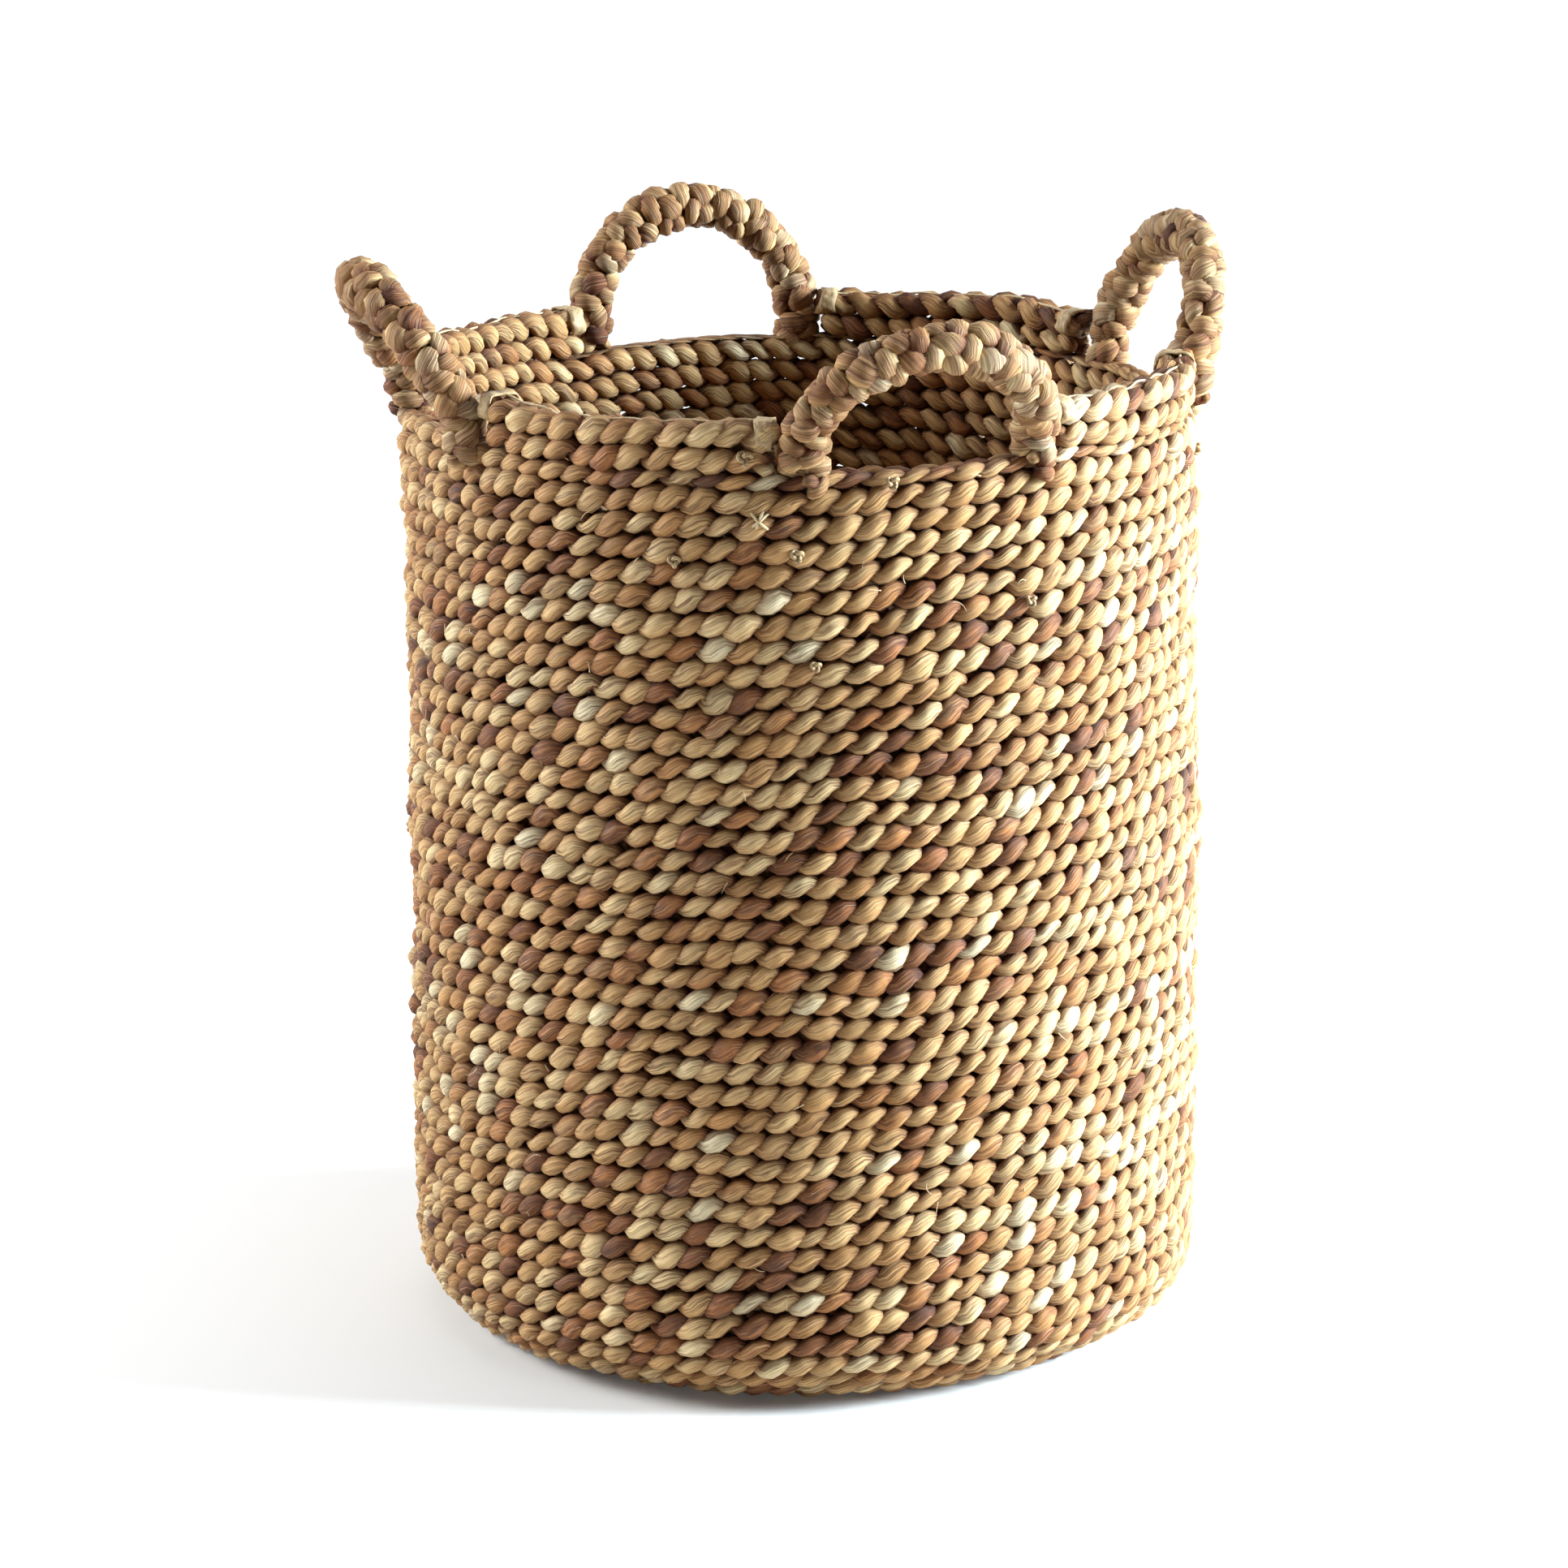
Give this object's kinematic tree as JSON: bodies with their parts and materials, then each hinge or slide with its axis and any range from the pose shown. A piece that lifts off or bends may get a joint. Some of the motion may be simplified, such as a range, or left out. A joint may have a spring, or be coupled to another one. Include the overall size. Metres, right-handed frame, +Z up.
{
  "type": "woven laundry basket",
  "caption": "Tall open cylindrical basket coiled from a flat water hyacinth plait, with a flat base, rounded bottom corner and arched rope handles round the rim.",
  "frame": {"origin": "centre of the flat underside of the base", "axes": "+Z up along the basket's axis, -Y towards the front handle, +X towards the right handle"},
  "size_m": [0.4529, 0.4382, 0.5539],
  "materials": {
    "wall_plait": "dried plant stems, satin, honey to straw coloured with brown and red brown stems",
    "base_plait": "dried plant stems, matt, darker inside the basket",
    "handle_rope": "plaited dried stems, satin",
    "stem_core": "bundled dried stems, matt",
    "leaf_wrap": "dried leaf strip, satin",
    "sewing_thread": "pale raffia thread, matt"
  },
  "bodies": {
    "basket": {"base_centre_coil": "base_plait", "base_outer_coil": "base_plait", "corner_coil_lower": "wall_plait", "corner_coil_upper": "wall_plait", "wall_coil_1": "wall_plait", "wall_coil_2": "wall_plait", "wall_coil_3": "wall_plait", "wall_coil_4": "wall_plait", "wall_coil_5": "wall_plait", "wall_coil_6": "wall_plait", "wall_coil_7": "wall_plait", "wall_coil_8": "wall_plait", "rim_lower_front_right": "wall_plait", "rim_upper_front_right": "wall_plait", "rim_wrap_front_right_start": "leaf_wrap", "rim_wrap_front_right_end": "leaf_wrap", "rim_thread_front_right": "sewing_thread", "rim_lower_back_right": "wall_plait", "rim_upper_back_right": "wall_plait", "rim_wrap_back_right_start": "leaf_wrap", "rim_wrap_back_right_end": "leaf_wrap", "rim_thread_back_right": "sewing_thread", "rim_lower_back_left": "wall_plait", "rim_upper_back_left": "wall_plait", "rim_wrap_back_left_start": "leaf_wrap", "rim_wrap_back_left_end": "leaf_wrap", "rim_thread_back_left": "sewing_thread", "rim_lower_front_left": "wall_plait", "rim_upper_front_left": "wall_plait", "rim_wrap_front_left_start": "leaf_wrap", "rim_wrap_front_left_end": "leaf_wrap", "rim_thread_front_left": "sewing_thread", "front_handle_left_foot": "handle_rope", "front_handle_right_foot": "handle_rope", "right_handle_left_foot": "handle_rope", "right_handle_right_foot": "handle_rope", "back_handle_left_foot": "handle_rope", "back_handle_right_foot": "handle_rope", "left_handle_left_foot": "handle_rope", "left_handle_right_foot": "handle_rope"},
    "front_handle": {"front_handle_plait": "handle_rope", "front_handle_core": "stem_core"},
    "right_handle": {"right_handle_plait": "handle_rope", "right_handle_core": "stem_core"},
    "back_handle": {"back_handle_plait": "handle_rope", "back_handle_core": "stem_core"},
    "left_handle": {"left_handle_plait": "handle_rope", "left_handle_core": "stem_core"}
  },
  "joints": [
    {"name": "front_handle_lean", "type": "hinge", "parent": "basket", "child": "front_handle", "pos_m": [0, -0.18863, 0.48411], "axis": [1, 0, 0], "range_deg": [-57, 10], "stiffness_Nm_per_rad": 1.5},
    {"name": "right_handle_lean", "type": "hinge", "parent": "basket", "child": "right_handle", "pos_m": [0.18863, 0, 0.48411], "axis": [0, 1, 0], "range_deg": [-43, 24], "stiffness_Nm_per_rad": 1.5},
    {"name": "back_handle_lean", "type": "hinge", "parent": "basket", "child": "back_handle", "pos_m": [0, 0.18863, 0.48411], "axis": [-1, 0, 0], "range_deg": [-35, 32], "stiffness_Nm_per_rad": 1.5},
    {"name": "left_handle_lean", "type": "hinge", "parent": "basket", "child": "left_handle", "pos_m": [-0.18863, 0, 0.48411], "axis": [0, -1, 0], "range_deg": [-56, 11], "stiffness_Nm_per_rad": 1.5}
  ]
}
